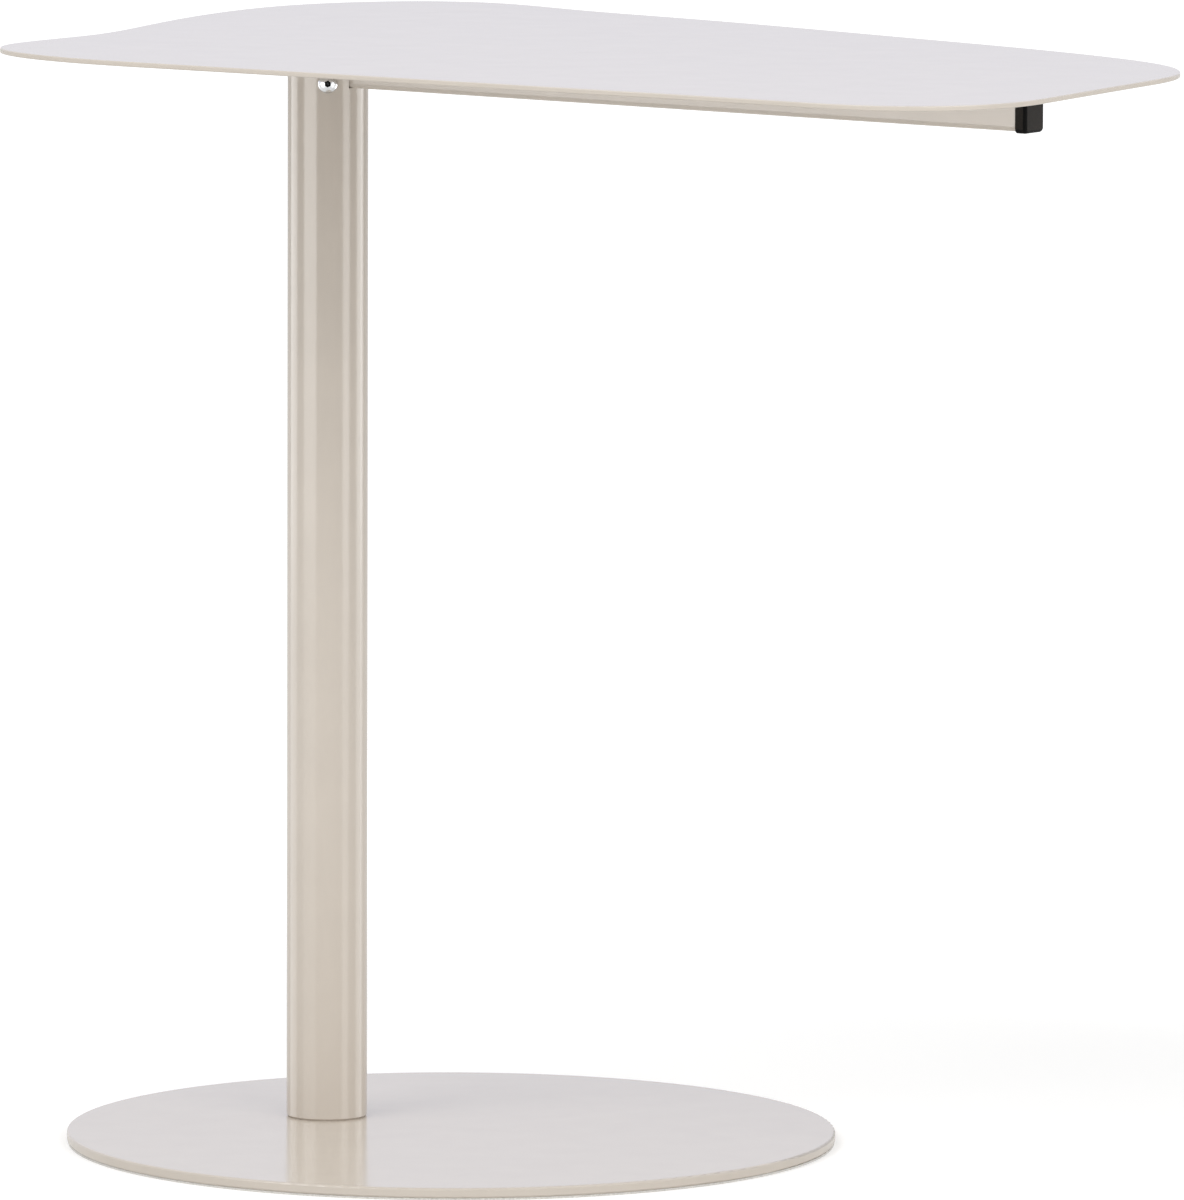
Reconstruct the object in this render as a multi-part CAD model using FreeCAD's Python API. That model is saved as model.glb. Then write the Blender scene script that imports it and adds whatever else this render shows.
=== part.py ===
import FreeCAD, Part
import math
import os

# Corner table: a round steel base, an upright set off its centre, an arm and a thin steel top.
# Millimetres. The origin is the centre of the base on the floor. +Z is up, and +X runs along
# the arm, from the upright towards the arm's free end.

os.makedirs("parts", exist_ok=True)

# One overrun for every cut that goes right through
overrun = 1.0

# Pad under the base
pad_edge_inset = 0.5
pad_thickness = 1.0
pad_hole_margin = 3.0

# Base plate
base_diameter = 380.0
base_thickness = 5.0
base_edge_radius = 1.0
post_offset = 76.0

# Upright: a round tube
post_diameter = 40.0
post_wall = 2.0
post_length = 539.0
post_foot_break = 0.9

# Plug welded into the foot of the upright
foot_plug_height = 12.0
foot_weld_leg = 2.0
plug_clearance = 0.15

# Countersunk screws that hold the base to the foot plug
base_screw_count = 3
base_screw_circle = 22.0
base_screw_diameter = 6.0
base_screw_length = 16.0
base_screw_head_diameter = 11.4
base_screw_recess = 0.2
base_screw_hex = 4.0
base_screw_hex_depth = 2.3
base_hole_clearance = 0.3
countersink_clearance = 0.1

# Arm: a rectangular tube that stands on its narrow side
arm_width = 15.0
arm_height = 25.0
arm_wall = 1.5
arm_corner_radius = 2.5
arm_tail = 12.0
arm_end_inset = 82.9
arm_end_break = 0.4

# Plug in the head of the upright, slotted for the arm
head_plug_length = 45.0
head_plug_lead = 1.0
slot_clearance = 0.1
notch_clearance = 0.3
arm_weld_leg = 3.0

# Button-head screw at the head of the upright
button_diameter = 5.0
button_length = 8.0
button_head_diameter = 9.5
button_head_height = 2.75
button_rim_height = 0.3
button_hex = 3.0
button_hex_depth = 1.6
button_hole_clearance = 0.25
button_angle = -54.5
button_place_height = 2.6
thread_clearance = 0.1
screw_tip_chamfer = 0.6

# Weld studs under the top, with a washer and a nut on each inside the arm. The nuts go in
# through access holes in the arm's lower wall.
top_fixing_count = 4
top_fixing_first = 45.0
top_fixing_end_inset = 46.5
stud_diameter = 4.0
stud_length = 8.0
stud_tip_chamfer = 0.5
stud_flange_diameter = 5.5
stud_flange_height = 0.7
stud_hole_clearance = 0.3
washer_diameter = 9.0
washer_bore = 4.3
washer_thickness = 0.8
nut_across_flats = 7.0
nut_height = 3.2
nut_corner_chamfer = 0.5
access_clearance = 0.3

# End cap of the arm, a little proud of the tube below and at the sides
cap_flange = 6.0
cap_flange_margin = 0.8
cap_face_radius = 1.8
cap_plug_length = 16.0
cap_rib_count = 4
cap_rib_thickness = 1.2
cap_rib_height = 1.4
cap_rib_inset = 1.6
cap_plug_clearance = 0.1

# Top: a steel sheet with a free outline
top_length = 600.0
top_width = 387.0
top_thickness = 2.5
top_edge_radius = 0.6
top_left_reach = 105.0
top_near_reach = 206.5

# The top's outline as shares of its length and width, from its left and near edges. It starts
# low on the left side and runs along the near side, the right side and the far side.
top_outline_shares = [
    (0.046, 0.144),
    (0.068, 0.061),
    (0.135, 0.011),
    (0.269, 0.004),
    (0.553, 0.021),
    (0.838, 0.037),
    (0.945, 0.065),
    (0.992, 0.152),
    (0.995, 0.300),
    (0.978, 0.523),
    (0.962, 0.643),
    (0.921, 0.726),
    (0.834, 0.796),
    (0.603, 0.881),
    (0.336, 0.954),
    (0.222, 0.977),
    (0.115, 0.997),
    (0.051, 0.938),
    (0.006, 0.806),
    (0.002, 0.676),
    (0.029, 0.451),
    (0.049, 0.295),
]

# Levels and places that follow from the sizes above
base_bottom = pad_thickness
base_top = base_bottom + base_thickness
post_top = base_top + post_length
arm_bottom = post_top - arm_height
post_x = -post_offset
post_radius = post_diameter / 2
bore_radius = post_radius - post_wall
plug_radius = bore_radius - plug_clearance
arm_end_x = post_x + top_length - top_left_reach - arm_end_inset
arm_tail_x = post_x - arm_tail
slot_width = arm_width + 2 * slot_clearance
screw_head_radius = base_screw_head_diameter / 2
button_hole_radius = button_diameter / 2 + button_hole_clearance
washer_top = post_top - arm_wall
nut_top = washer_top - washer_thickness
countersink_radius = screw_head_radius + base_screw_recess + countersink_clearance

up = FreeCAD.Vector(0, 0, 1)
along = FreeCAD.Vector(1, 0, 0)
across = FreeCAD.Vector(0, 1, 0)


def point(x, y, z):
    return FreeCAD.Vector(x, y, z)


def cylinder(radius, height, x, y, z):
    return Part.makeCylinder(radius, height, point(x, y, z), up)


def centred_box(x_start, x_end, width, z_start, z_end):
    """A box from x_start to x_end, centred on the arm's line."""
    corner = point(x_start, -width / 2, z_start)
    return Part.makeBox(x_end - x_start, width, z_end - z_start, corner)


def hexagon(across_flats, height, z):
    """A hexagonal prism on the Z axis."""
    corner_radius = across_flats / math.sqrt(3)
    corners = []
    for side in range(7):
        turn = math.radians(60 * side)
        corners.append(point(corner_radius * math.cos(turn), corner_radius * math.sin(turn), z))
    return Part.Face(Part.makePolygon(corners)).extrude(up * height)


def prism(corners, direction):
    """A flat polygon swept along a direction."""
    return Part.Face(Part.makePolygon(corners + corners[:1])).extrude(direction)


def edges_along(shape, direction):
    """The straight edges of a shape that run along a direction."""
    found = []
    for edge in shape.Edges:
        if len(edge.Vertexes) == 2:
            run = edge.Vertexes[1].Point - edge.Vertexes[0].Point
            if run.cross(direction).Length < run.Length * 1e-6:
                found.append(edge)
    return found


def edges_at_level(shape, z):
    """The edges of a shape that lie in one level plane."""
    found = []
    for edge in shape.Edges:
        box = edge.BoundBox
        if abs(box.ZMin - z) + abs(box.ZMax - z) < shape.BoundBox.DiagonalLength * 1e-6:
            found.append(edge)
    return found


def edges_at_reach(shape, x):
    """The edges of a shape that lie in one plane square to the arm."""
    found = []
    for edge in shape.Edges:
        box = edge.BoundBox
        if abs(box.XMin - x) + abs(box.XMax - x) < shape.BoundBox.DiagonalLength * 1e-6:
            found.append(edge)
    return found


def rounded_bar(x_start, x_end, inset, radius):
    """A bar with the arm's section, drawn in by an inset, with rounded long edges."""
    bar = centred_box(x_start, x_end, arm_width - 2 * inset, arm_bottom + inset, post_top - inset)
    return bar.makeFillet(radius, edges_along(bar, along))


def at_top_fixings(make_one):
    """One piece at each fixing of the top."""
    pieces = []
    for x in top_fixing_places():
        pieces.append(make_one(x))
    return Part.makeCompound(pieces)


def base_screw_places():
    places = []
    for number in range(base_screw_count):
        turn = 2 * math.pi * number / base_screw_count
        x = post_x + base_screw_circle / 2 * math.cos(turn)
        y = base_screw_circle / 2 * math.sin(turn)
        places.append((x, y))
    return places


def top_fixing_places():
    start = post_x + top_fixing_first
    step = (arm_end_x - top_fixing_end_inset - start) / (top_fixing_count - 1)
    return [start + step * number for number in range(top_fixing_count)]


def button_screw():
    """A button-head screw on the Z axis: the seat of its head at zero, its shank below."""
    dome_height = button_head_height - button_rim_height
    head_radius = button_head_diameter / 2
    dome_radius = (head_radius ** 2 + dome_height ** 2) / (2 * dome_height)
    head = cylinder(head_radius, button_head_height, 0, 0, 0)
    head = head.common(Part.makeSphere(dome_radius, point(0, 0, button_head_height - dome_radius)))
    shank = cylinder(button_diameter / 2, button_length, 0, 0, -button_length)
    shank = shank.makeChamfer(screw_tip_chamfer, edges_at_level(shank, -button_length))
    socket = hexagon(button_hex, button_hex_depth + overrun, button_head_height - button_hex_depth)
    return head.fuse(shank).cut(socket).removeSplitter()


def countersunk_screw():
    """A countersunk screw that points up, with the flat of its head at zero."""
    shank_radius = base_screw_diameter / 2
    cone_height = screw_head_radius - shank_radius
    head = Part.makeCone(screw_head_radius, shank_radius, cone_height)
    shank = cylinder(shank_radius, base_screw_length, 0, 0, 0)
    shank = shank.makeChamfer(screw_tip_chamfer, edges_at_level(shank, base_screw_length))
    socket = hexagon(base_screw_hex, base_screw_hex_depth + overrun, -overrun)
    return head.fuse(shank).cut(socket).removeSplitter()


def make_base_pad():
    pad = cylinder(base_diameter / 2 - pad_edge_inset, pad_thickness, 0, 0, 0)
    hole_radius = base_screw_circle / 2 + countersink_radius + pad_hole_margin
    hole = cylinder(hole_radius, pad_thickness + 2 * overrun, post_x, 0, -overrun)
    return pad.cut(hole)


def make_base_plate():
    plate = cylinder(base_diameter / 2, base_thickness, 0, 0, base_bottom)
    rims = edges_at_level(plate, base_bottom) + edges_at_level(plate, base_top)
    plate = plate.makeFillet(base_edge_radius, rims)
    hole_radius = base_screw_diameter / 2 + base_hole_clearance
    mouth_radius = countersink_radius + overrun
    for x, y in base_screw_places():
        hole = cylinder(hole_radius, base_thickness + 2 * overrun, x, y, base_bottom - overrun)
        seat = Part.makeCone(mouth_radius, 0, mouth_radius, point(x, y, base_bottom - overrun), up)
        plate = plate.cut(hole).cut(seat)
    return plate


def make_base_screws():
    screws = []
    for x, y in base_screw_places():
        screw = countersunk_screw()
        screw.translate(point(x, y, base_bottom + base_screw_recess))
        screws.append(screw)
    return Part.makeCompound(screws)


def make_foot_plug():
    plug = cylinder(plug_radius, foot_plug_height, post_x, 0, base_top)
    plug = plug.makeChamfer(foot_weld_leg, edges_at_level(plug, base_top))
    tapped_radius = base_screw_diameter / 2 + thread_clearance
    for x, y in base_screw_places():
        hole = cylinder(tapped_radius, foot_plug_height + 2 * overrun, x, y, base_top - overrun)
        plug = plug.cut(hole)
    return plug


def make_foot_weld():
    """The ring of weld that fills the plug's lower chamfer, ground flush with the tube's end."""
    ring = cylinder(bore_radius, foot_weld_leg, post_x, 0, base_top)
    lower_radius = plug_radius - foot_weld_leg
    core = Part.makeCone(lower_radius, plug_radius, foot_weld_leg, point(post_x, 0, base_top), up)
    return ring.cut(core)


def make_post_tube():
    tube = cylinder(post_radius, post_length, post_x, 0, base_top)
    tube = tube.makeChamfer(post_foot_break, edges_at_level(tube, base_top))
    tube = tube.cut(cylinder(bore_radius, post_length + 2 * overrun, post_x, 0, base_top - overrun))
    notch_width = arm_width + 2 * notch_clearance
    notch_end = post_x + post_radius + overrun
    notch = centred_box(post_x, notch_end, notch_width, arm_bottom, post_top + overrun)
    return tube.cut(notch).cut(post_screw_hole(button_hole_radius))


def post_screw_direction():
    turn = math.radians(button_angle)
    return point(math.cos(turn), math.sin(turn), 0)


def post_screw_hole(radius):
    """A round hole from the upright's axis outwards, on the line of the head's screw."""
    start = point(post_x, 0, arm_bottom + button_place_height)
    return Part.makeCylinder(radius, post_radius + overrun, start, post_screw_direction())


def make_head_plug():
    plug = cylinder(plug_radius, head_plug_length, post_x, 0, post_top - head_plug_length)
    plug = plug.makeChamfer(head_plug_lead, edges_at_level(plug, post_top - head_plug_length))
    slot_end = post_x + plug_radius + overrun
    slot_start = post_x - plug_radius - overrun
    slot = centred_box(slot_start, slot_end, slot_width, arm_bottom, post_top + overrun)
    return plug.cut(slot).cut(post_screw_hole(button_diameter / 2 + thread_clearance))


def make_post_screw():
    screw = button_screw()
    turn = FreeCAD.Rotation(up, post_screw_direction())
    seat = point(post_x, 0, arm_bottom + button_place_height) + post_screw_direction() * post_radius
    screw.Placement = FreeCAD.Placement(seat, turn)
    return screw


def make_support_arm():
    arm = rounded_bar(arm_tail_x, arm_end_x, 0, arm_corner_radius)
    arm = arm.makeChamfer(arm_end_break, edges_at_reach(arm, arm_end_x))
    inner_radius = arm_corner_radius - arm_wall
    arm = arm.cut(rounded_bar(arm_tail_x - overrun, arm_end_x + overrun, arm_wall, inner_radius))
    access_radius = washer_diameter / 2 + access_clearance
    stud_hole_radius = stud_flange_diameter / 2 + stud_hole_clearance
    for x in top_fixing_places():
        access_hole = cylinder(access_radius, arm_wall + 2 * overrun, x, 0, arm_bottom - overrun)
        stud_hole = cylinder(stud_hole_radius, arm_wall + 2 * overrun, x, 0, washer_top - overrun)
        arm = arm.cut(access_hole).cut(stud_hole)
    return arm


def make_arm_weld():
    """The bead round the arm's inner end, along the slot's floor and up both of its sides."""
    side = slot_width / 2
    floor_start = point(arm_tail_x, -side, arm_bottom)
    floor_corners = [
        floor_start,
        floor_start - along * arm_weld_leg,
        floor_start + up * arm_weld_leg,
    ]
    bead = prism(floor_corners, across * slot_width)
    for hand in (-1, 1):
        corner = point(arm_tail_x, hand * side, arm_bottom)
        side_corners = [
            corner,
            corner - along * arm_weld_leg,
            corner - across * hand * arm_weld_leg,
        ]
        bead = bead.fuse(prism(side_corners, up * arm_height))
    return bead.removeSplitter()


def make_arm_end_cap():
    """The cap's flange covers the tube's end, and its ribbed plug grips inside the tube."""
    flange_width = arm_width + 2 * cap_flange_margin
    flange_end = arm_end_x + cap_flange
    flange = centred_box(arm_end_x, flange_end, flange_width, arm_bottom - cap_flange_margin, post_top)
    flange = flange.makeFillet(arm_corner_radius, edges_along(flange, along))
    flange = flange.makeFillet(cap_face_radius, edges_at_reach(flange, flange_end))
    plug_start = arm_end_x - cap_plug_length
    rib_inset = arm_wall + cap_plug_clearance
    rib_radius = arm_corner_radius - rib_inset
    cap = flange.fuse(rounded_bar(plug_start, arm_end_x, rib_inset + cap_rib_height, rib_radius))
    pitch = (cap_plug_length - 2 * cap_rib_inset - cap_rib_thickness) / (cap_rib_count - 1)
    for number in range(cap_rib_count):
        rib_start = plug_start + cap_rib_inset + pitch * number
        cap = cap.fuse(rounded_bar(rib_start, rib_start + cap_rib_thickness, rib_inset, rib_radius))
    return cap.removeSplitter()


def top_stud(x):
    """A weld stud that hangs from the top's underside, with its flange against the sheet."""
    tip = post_top - stud_length
    stud = cylinder(stud_diameter / 2, stud_length, x, 0, tip)
    stud = stud.makeChamfer(stud_tip_chamfer, edges_at_level(stud, tip))
    flange = cylinder(stud_flange_diameter / 2, stud_flange_height, x, 0, post_top - stud_flange_height)
    return stud.fuse(flange).removeSplitter()


def top_washer(x):
    disc = cylinder(washer_diameter / 2, washer_thickness, x, 0, nut_top)
    return disc.cut(cylinder(washer_bore / 2, washer_thickness + 2 * overrun, x, 0, nut_top - overrun))


def top_nut(x):
    """A hexagon nut against the washer, with its corners chamfered at both ends."""
    nut_bottom = nut_top - nut_height
    envelope = cylinder(nut_across_flats / math.sqrt(3), nut_height, x, 0, nut_bottom)
    ends = edges_at_level(envelope, nut_bottom) + edges_at_level(envelope, nut_top)
    envelope = envelope.makeChamfer(nut_corner_chamfer, ends)
    body = hexagon(nut_across_flats, nut_height, nut_bottom)
    body.translate(point(x, 0, 0))
    bore_start = nut_bottom - overrun
    bore = cylinder(stud_diameter / 2 + thread_clearance, nut_height + 2 * overrun, x, 0, bore_start)
    return body.common(envelope).cut(bore)


def make_tabletop():
    points = []
    for along_share, across_share in top_outline_shares:
        x = post_x - top_left_reach + along_share * top_length
        y = across_share * top_width - top_near_reach
        points.append(point(x, y, post_top))
    outline = Part.BSplineCurve()
    outline.interpolate(Points=points, PeriodicFlag=True)
    sheet = Part.Face(Part.Wire(outline.toShape())).extrude(up * top_thickness)
    rims = edges_at_level(sheet, post_top) + edges_at_level(sheet, post_top + top_thickness)
    return sheet.makeFillet(top_edge_radius, rims)


nodes = {
    "base_pad": make_base_pad(),
    "base_plate": make_base_plate(),
    "base_screws": make_base_screws(),
    "foot_plug": make_foot_plug(),
    "foot_weld": make_foot_weld(),
    "post_tube": make_post_tube(),
    "head_plug": make_head_plug(),
    "post_screw": make_post_screw(),
    "support_arm": make_support_arm(),
    "arm_weld": make_arm_weld(),
    "arm_end_cap": make_arm_end_cap(),
    "top_studs": at_top_fixings(top_stud),
    "top_washers": at_top_fixings(top_washer),
    "top_nuts": at_top_fixings(top_nut),
    "tabletop": make_tabletop(),
}

for name, shape in nodes.items():
    shape.exportStep("parts/" + name + ".step")
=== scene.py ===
import bpy
import math
from mathutils import Matrix, Vector


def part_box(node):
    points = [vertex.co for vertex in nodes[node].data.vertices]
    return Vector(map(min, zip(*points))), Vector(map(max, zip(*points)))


# Corner table in powder-coated steel, in a plain pale studio. Lengths are in metres and angles in
# degrees, in the frame of the CAD: the origin is the centre of the base on the floor, +X runs
# along the arm, and +Z is up. An azimuth is zero on the side of -Y and grows towards +X.

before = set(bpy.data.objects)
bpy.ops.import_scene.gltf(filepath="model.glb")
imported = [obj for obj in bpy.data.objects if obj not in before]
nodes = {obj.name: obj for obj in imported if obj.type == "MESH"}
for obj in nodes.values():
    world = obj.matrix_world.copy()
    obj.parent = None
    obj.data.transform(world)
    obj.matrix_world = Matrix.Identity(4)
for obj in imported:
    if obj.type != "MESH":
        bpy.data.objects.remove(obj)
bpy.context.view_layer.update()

# Camera, fitted to the photograph. The lens and the sensor are in millimetres.
camera_place = (4.6373, -6.5086, 1.2300)
camera_azimuth = 34.976
camera_pitch = 6.852
camera_roll = 0.18
camera_lens = 490.0
camera_sensor = 36.0
camera_reach = 200.0

# Softboxes above the viewer, each with its azimuth, elevation, size and radiance
softbox_distance = 3.2
softboxes = {
    "key": (-15.0, 50.0, 1.5, 3.4),
    "front": (15.0, 42.0, 2.0, 0.4),
    "fill": (70.0, 28.0, 2.0, 2.1),
}

# Reflection cards: they stand in columns round the upright and show only in reflections. They go
# on below the floor, so that the upright's streaks run down to its foot. A row has its lower and
# upper level, and a column its azimuth, half its angle, and each row's radiance.
card_distance = 1.6
card_rows = {
    "high": (0.24, 0.60),
    "middle": (0.10, 0.24),
    "low": (-0.115, 0.10),
    "foot": (-0.60, -0.115),
}
card_columns = {
    "left_front": (-16.0, 19.5, {"high": 4.1, "middle": 2.5, "low": 0.6, "foot": 0.8}),
    "left_back": (-77.5, 16.0, {"high": 2.9, "middle": 2.2, "low": 1.2, "foot": 1.4}),
    "right_front": (88.8, 9.5, {"high": 3.4, "middle": 3.0, "low": 1.3, "foot": 1.4}),
    "right_back": (142.0, 15.0, {"high": 3.8, "middle": 3.4, "low": 1.9, "foot": 1.9}),
}

# World: soft light from all round, and the white that reflections show
white = (1.0, 1.0, 1.0)
ambient_level = 0.735
mirrored_colour = (0.83, 0.85, 0.96)

# Floor: its matt shade, and a glow that makes it white for the camera and shows less in
# reflections. The glow rises to its second level over a span of distances from the origin.
floor_size = 60.0
floor_shade = 0.80
floor_glow_levels = (0.29, 0.60)
floor_glow_span = (0.4, 1.4)
floor_glow_mirrored_share = 0.30

# Finishes. A noise has its cells per metre and its octaves of detail, and most of its values lie
# in the noise span. Factors are the least and the most of what they vary.
noise_span = (0.3, 0.7)

coat_nodes = ("base_plate", "post_tube", "support_arm", "tabletop")
coat_colour = (0.62, 0.56, 0.49)
coat_tone_noise = (40.0, 3.0)
coat_tone_factors = (0.985, 1.015)
coat_gloss_noise = (60.0, 3.0)
coat_roughness = (0.146, 0.154)
coat_peel_noise = (350.0, 2.0)
coat_peel_depth = 0.8e-6
coat_refraction = 1.5

felt_colour = (0.70, 0.68, 0.64)
felt_fibre_noise = (900.0, 4.0)
felt_fibre_factors = (0.85, 1.1)
felt_roughness = 0.95
felt_nap_noise = (1500.0, 4.0)
felt_nap_depth = 50e-6
felt_sheen = 0.3
felt_sheen_roughness = 0.6

cap_face_colour = (0.021, 0.018, 0.015)
# The cap's rounded edges take a darker colour: painted shade
cap_edge_painted_shade_colour = (0.004, 0.004, 0.0038)
cap_flat_span = (0.97, 0.999)
cap_grain_noise = (1200.0, 3.0)
cap_grain_factors = (0.8, 1.2)
cap_gloss_noise = (1200.0, 2.0)
cap_roughness = (0.50, 0.60)
cap_relief_noise = (2500.0, 2.0)
cap_relief_depth = 10e-6
cap_specular_level = 0.06

# Each metal has its colour, its roughness, the depth of its relief and its nodes. The values after
# the table darken its sockets and where it meets a face, as painted shade: the factor of the colour
# there, how far occlusion is looked for, and the span of openness over which the metal goes from
# the painted shade to its own colour.
metals = {
    "bright_screw": ((0.74, 0.75, 0.76), 0.2, 2e-6, ["post_screw"]),
    "zinc_steel": (
        (0.62, 0.63, 0.65), 0.3, 4e-6,
        ["base_screws", "top_studs", "top_washers", "top_nuts"],
    ),
    "plain_steel": ((0.42, 0.42, 0.42), 0.35, 6e-6, ["foot_plug", "head_plug"]),
    "weld_steel": ((0.34, 0.33, 0.32), 0.45, 50e-6, ["foot_weld", "arm_weld"]),
}
metal_grain_noise = (700.0, 3.0)
metal_grain_factors = (0.9, 1.08)
metal_gloss_noise = (1500.0, 2.0)
metal_roughness_factors = (0.85, 1.2)
metal_relief_noise = (3000.0, 2.0)
# Painted shade in the metals' sockets and where they meet a face
metal_painted_shade_factor = 0.01
metal_painted_shade_reach = 0.004
metal_painted_shade_span = (0.6, 0.85)

# The Mix node's colour sockets, by number because its other kinds of socket share their names
mix_first = 6
mix_second = 7
mix_result = 2


def add_camera():
    camera = bpy.data.objects.new("camera", bpy.data.cameras.new("camera"))
    bpy.context.scene.collection.objects.link(camera)
    turn = Matrix.Rotation(math.radians(camera_azimuth), 4, "Z")
    tilt = Matrix.Rotation(math.radians(90 - camera_pitch), 4, "X")
    roll = Matrix.Rotation(math.radians(camera_roll), 4, "Z")
    camera.matrix_world = Matrix.Translation(camera_place) @ turn @ tilt @ roll
    camera.data.lens = camera_lens
    camera.data.sensor_width = camera_sensor
    camera.data.clip_end = camera_reach
    bpy.context.scene.camera = camera


def add_lamp(name, size, radiance, place, target):
    """A rectangular lamp that looks at a target and shows its radiance in reflections."""
    lamp = bpy.data.lights.new(name, "AREA")
    lamp.shape = "RECTANGLE"
    lamp.size, lamp.size_y = size
    lamp.energy = radiance * math.pi * size[0] * size[1]
    holder = bpy.data.objects.new(name, lamp)
    bpy.context.scene.collection.objects.link(holder)
    holder.location = place
    holder.rotation_euler = (Vector(target) - Vector(place)).to_track_quat("-Z", "Y").to_euler()
    holder.visible_camera = False
    return holder


def add_softboxes():
    low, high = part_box("post_tube")
    target = (low + high) / 2
    for name, (azimuth, elevation, size, radiance) in softboxes.items():
        turn, lift = math.radians(azimuth), math.radians(elevation)
        level = math.cos(lift)
        way = Vector((math.sin(turn) * level, -math.cos(turn) * level, math.sin(lift)))
        add_lamp(name, (size, size), radiance, target + way * softbox_distance, target)


def all_but(name, *objects):
    """A light-linking collection that stands for everything apart from some objects."""
    group = bpy.data.collections.new(name)
    for number, one in enumerate(objects):
        group.objects.link(one)
        group.collection_objects[number].light_linking.link_state = "EXCLUDE"
    return group


def add_cards(floor):
    """The cards round the upright. The top and the base don't show them, and the base and the
    floor don't hide the rows below them."""
    low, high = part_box("post_tube")
    post_x = (low.x + high.x) / 2
    receivers = all_but("receivers", nodes["tabletop"], nodes["base_plate"])
    blockers = all_but("blockers", nodes["base_plate"], nodes["base_pad"], floor)
    for column, (azimuth, half_angle, radiances) in card_columns.items():
        turn = math.radians(azimuth)
        x = post_x + card_distance * math.sin(turn)
        y = -card_distance * math.cos(turn)
        width = 2 * card_distance * math.tan(math.radians(half_angle))
        for row, radiance in radiances.items():
            foot, head = card_rows[row]
            middle = (foot + head) / 2
            place, target = (x, y, middle), (post_x, 0, middle)
            card = add_lamp(column + "_" + row, (width, head - foot), radiance, place, target)
            card.visible_diffuse = False
            card.light_linking.receiver_collection = receivers
            card.light_linking.blocker_collection = blockers


def larger(tree, first, second):
    choice = tree.nodes.new("ShaderNodeMath")
    choice.operation = "MAXIMUM"
    tree.links.new(first, choice.inputs[0])
    tree.links.new(second, choice.inputs[1])
    return choice.outputs[0]


def product(tree, first, second):
    """A socket times a socket or a number."""
    times = tree.nodes.new("ShaderNodeMath")
    times.operation = "MULTIPLY"
    tree.links.new(first, times.inputs[0])
    if isinstance(second, float):
        times.inputs[1].default_value = second
    else:
        tree.links.new(second, times.inputs[1])
    return times.outputs[0]


def ramp(tree, source, span, levels, shape="LINEAR"):
    """A source's values over a span, laid over a range of levels."""
    laid = tree.nodes.new("ShaderNodeMapRange")
    laid.interpolation_type = shape
    laid.inputs["From Min"].default_value, laid.inputs["From Max"].default_value = span
    laid.inputs["To Min"].default_value, laid.inputs["To Max"].default_value = levels
    tree.links.new(source, laid.inputs["Value"])
    return laid.outputs["Result"]


def ray_kinds(tree):
    """One for rays straight from the camera or through glass, and one for reflected rays."""
    path = tree.nodes.new("ShaderNodeLightPath")
    straight = larger(tree, path.outputs["Is Camera Ray"], path.outputs["Is Transmission Ray"])
    return straight, path.outputs["Is Glossy Ray"]


def background(tree, colour, strength):
    light = tree.nodes.new("ShaderNodeBackground")
    light.inputs["Color"].default_value = (*colour, 1)
    light.inputs["Strength"].default_value = strength
    return light.outputs[0]


def chosen(tree, share, first, second):
    """The first shader where the share is zero, and the second where it is one."""
    choice = tree.nodes.new("ShaderNodeMixShader")
    tree.links.new(share, choice.inputs[0])
    tree.links.new(first, choice.inputs[1])
    tree.links.new(second, choice.inputs[2])
    return choice.outputs[0]


def set_world():
    """Soft light for matt surfaces, a cool white for reflections and plain white for the camera."""
    world = bpy.data.worlds.new("studio")
    bpy.context.scene.world = world
    world.use_nodes = True
    tree = world.node_tree
    tree.nodes.clear()
    straight, reflected = ray_kinds(tree)
    ambient = background(tree, white, ambient_level)
    mirrored = background(tree, mirrored_colour, 1.0)
    seen = background(tree, white, 1.0)
    soft = chosen(tree, reflected, ambient, mirrored)
    output = tree.nodes.new("ShaderNodeOutputWorld")
    tree.links.new(chosen(tree, straight, soft, seen), output.inputs["Surface"])


def floor_glow(tree):
    """White for the camera and, weaker, for reflections. It is stronger far from the object."""
    straight, reflected = ray_kinds(tree)
    mirrored = product(tree, reflected, floor_glow_mirrored_share)
    space = tree.nodes.new("ShaderNodeTexCoord")
    distance = tree.nodes.new("ShaderNodeVectorMath")
    distance.operation = "LENGTH"
    tree.links.new(space.outputs["Object"], distance.inputs[0])
    far = distance.outputs["Value"]
    rise = ramp(tree, far, floor_glow_span, floor_glow_levels, "SMOOTHSTEP")
    glow = tree.nodes.new("ShaderNodeEmission")
    glow.inputs["Color"].default_value = (*white, 1)
    strength = product(tree, larger(tree, straight, mirrored), rise)
    tree.links.new(strength, glow.inputs["Strength"])
    return glow.outputs[0]


def add_floor():
    half = floor_size / 2
    mesh = bpy.data.meshes.new("floor")
    corners = [(-half, -half, 0), (half, -half, 0), (half, half, 0), (-half, half, 0)]
    mesh.from_pydata(corners, [], [(0, 1, 2, 3)])
    floor = bpy.data.objects.new("floor", mesh)
    bpy.context.scene.collection.objects.link(floor)
    paint = bpy.data.materials.new("floor_paint")
    paint.use_nodes = True
    tree = paint.node_tree
    tree.nodes.clear()
    matte = tree.nodes.new("ShaderNodeBsdfDiffuse")
    matte.inputs["Color"].default_value = (floor_shade, floor_shade, floor_shade, 1)
    both = tree.nodes.new("ShaderNodeAddShader")
    output = tree.nodes.new("ShaderNodeOutputMaterial")
    tree.links.new(matte.outputs[0], both.inputs[0])
    tree.links.new(floor_glow(tree), both.inputs[1])
    tree.links.new(both.outputs[0], output.inputs["Surface"])
    mesh.materials.append(paint)
    return floor


def shade(colour, factor):
    return tuple(part * factor for part in colour)


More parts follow.
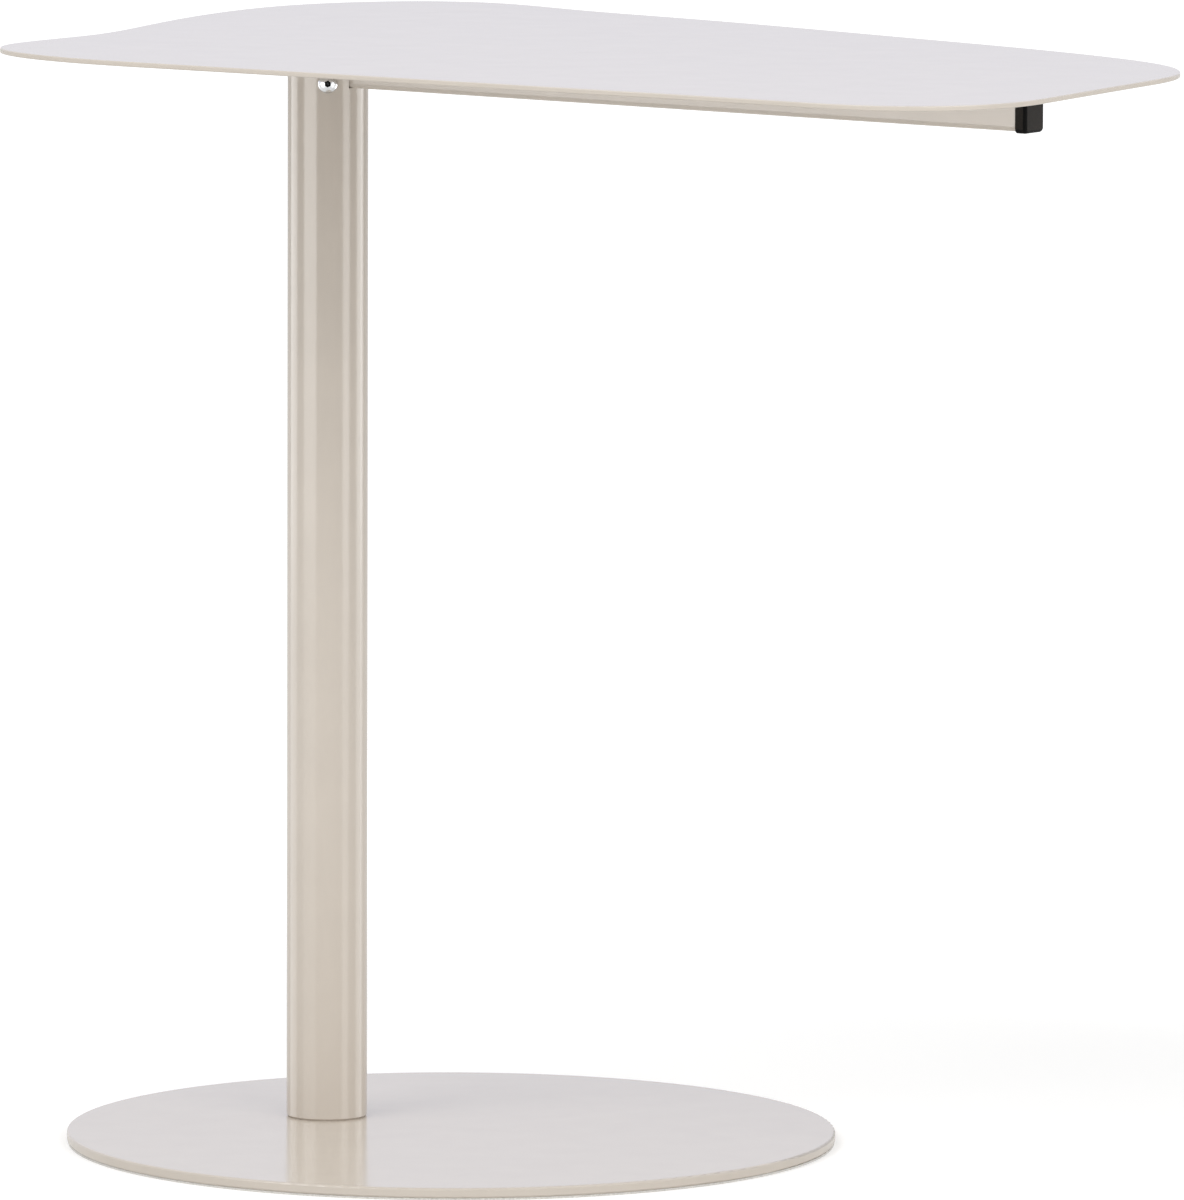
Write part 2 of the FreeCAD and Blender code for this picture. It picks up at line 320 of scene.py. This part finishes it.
class Paint:
    """A material with one Principled shader and helpers for its procedural detail."""

    def __init__(self, name):
        self.material = bpy.data.materials.new(name)
        self.material.use_nodes = True
        self.tree = self.material.node_tree
        self.shader = self.tree.nodes["Principled BSDF"]
        self.space = self.tree.nodes.new("ShaderNodeTexCoord").outputs["Object"]

    def plain(self, socket, level):
        """A value that is the same all over the surface."""
        self.shader.inputs[socket].default_value = level

    def noise(self, scale, detail):
        texture = self.tree.nodes.new("ShaderNodeTexNoise")
        texture.inputs["Scale"].default_value = scale
        texture.inputs["Detail"].default_value = detail
        self.tree.links.new(self.space, texture.inputs["Vector"])
        return texture.outputs["Fac"]

    def mixed(self, source, first, second):
        """A colour from first to second as the source goes from zero to one."""
        mix = self.tree.nodes.new("ShaderNodeMix")
        mix.data_type = "RGBA"
        self.tree.links.new(source, mix.inputs["Factor"])
        for number, colour in ((mix_first, first), (mix_second, second)):
            if isinstance(colour, tuple):
                mix.inputs[number].default_value = (*colour, 1)
            else:
                self.tree.links.new(colour, mix.inputs[number])
        return mix.outputs[mix_result]

    def mottled(self, colour, noise, factors):
        """A colour that a noise varies from one factor of it to another."""
        source = ramp(self.tree, self.noise(*noise), noise_span, (0.0, 1.0))
        return self.mixed(source, shade(colour, factors[0]), shade(colour, factors[1]))

    def colour(self, result):
        self.tree.links.new(result, self.shader.inputs["Base Color"])

    def roughness(self, noise, levels):
        result = ramp(self.tree, self.noise(*noise), noise_span, levels)
        self.tree.links.new(result, self.shader.inputs["Roughness"])

    def relief(self, noise, depth):
        bump = self.tree.nodes.new("ShaderNodeBump")
        bump.inputs["Distance"].default_value = depth
        self.tree.links.new(self.noise(*noise), bump.inputs["Height"])
        self.tree.links.new(bump.outputs["Normal"], self.shader.inputs["Normal"])

    def painted_shade_openness(self, reach, span):
        """One on open faces, and zero deep in sockets and corners, looked at within a reach. It
        places painted shade.
        """
        occlusion_probe = self.tree.nodes.new("ShaderNodeAmbientOcclusion")
        occlusion_probe.inputs["Distance"].default_value = reach
        return ramp(self.tree, occlusion_probe.outputs["AO"], span, (0.0, 1.0))

    def flatness(self, span):
        """One on faces square to an axis, and zero on rounded edges between them."""
        normal = self.tree.nodes.new("ShaderNodeNewGeometry").outputs["Normal"]
        size = self.tree.nodes.new("ShaderNodeVectorMath")
        size.operation = "ABSOLUTE"
        self.tree.links.new(normal, size.inputs[0])
        parts = self.tree.nodes.new("ShaderNodeSeparateXYZ")
        self.tree.links.new(size.outputs[0], parts.inputs[0])
        sideways = larger(self.tree, parts.outputs["X"], parts.outputs["Y"])
        largest = larger(self.tree, sideways, parts.outputs["Z"])
        return ramp(self.tree, largest, span, (0.0, 1.0))


def coat_paint():
    """Satin powder coat: fine orange peel and a faintly uneven gloss."""
    paint = Paint("powder_coat")
    paint.colour(paint.mottled(coat_colour, coat_tone_noise, coat_tone_factors))
    paint.roughness(coat_gloss_noise, coat_roughness)
    paint.relief(coat_peel_noise, coat_peel_depth)
    paint.plain("IOR", coat_refraction)
    return paint.material


def felt_paint():
    """Dense felt: short fibres with a faint sheen."""
    paint = Paint("felt")
    paint.colour(paint.mottled(felt_colour, felt_fibre_noise, felt_fibre_factors))
    paint.plain("Roughness", felt_roughness)
    paint.relief(felt_nap_noise, felt_nap_depth)
    paint.plain("Sheen Weight", felt_sheen)
    paint.plain("Sheen Roughness", felt_sheen_roughness)
    return paint.material


def cap_paint():
    """Black moulded plastic: a fine grain on its flat faces, and painted shade on its rounded
    edges.
    """
    paint = Paint("black_plastic")
    face = paint.mottled(cap_face_colour, cap_grain_noise, cap_grain_factors)
    # Painted shade: the rounded edges are darker than the flat faces
    paint.colour(paint.mixed(paint.flatness(cap_flat_span), cap_edge_painted_shade_colour, face))
    paint.roughness(cap_gloss_noise, cap_roughness)
    paint.relief(cap_relief_noise, cap_relief_depth)
    paint.plain("Specular IOR Level", cap_specular_level)
    return paint.material


def metal_paint(name, colour, roughness, relief_depth):
    """Bare or plated metal with a fine grain, and painted shade in its sockets and where it meets a
    face.
    """
    paint = Paint(name)
    # Painted shade: the colour darkens where occlusion finds faces close by
    clear = paint.painted_shade_openness(metal_painted_shade_reach, metal_painted_shade_span)
    open_colour = paint.mottled(colour, metal_grain_noise, metal_grain_factors)
    paint.colour(paint.mixed(clear, shade(colour, metal_painted_shade_factor), open_colour))
    paint.roughness(metal_gloss_noise, [roughness * factor for factor in metal_roughness_factors])
    paint.relief(metal_relief_noise, relief_depth)
    paint.plain("Metallic", 1.0)
    return paint.material


def dress(material, names):
    for name in names:
        mesh = nodes[name].data
        mesh.materials.clear()
        mesh.materials.append(material)


def dress_all():
    dress(coat_paint(), coat_nodes)
    dress(felt_paint(), ["base_pad"])
    dress(cap_paint(), ["arm_end_cap"])
    for metal, (colour, roughness, relief_depth, names) in metals.items():
        dress(metal_paint(metal, colour, roughness, relief_depth), names)


bpy.context.scene.view_settings.view_transform = "Standard"
add_camera()
set_world()
add_softboxes()
add_cards(add_floor())
dress_all()
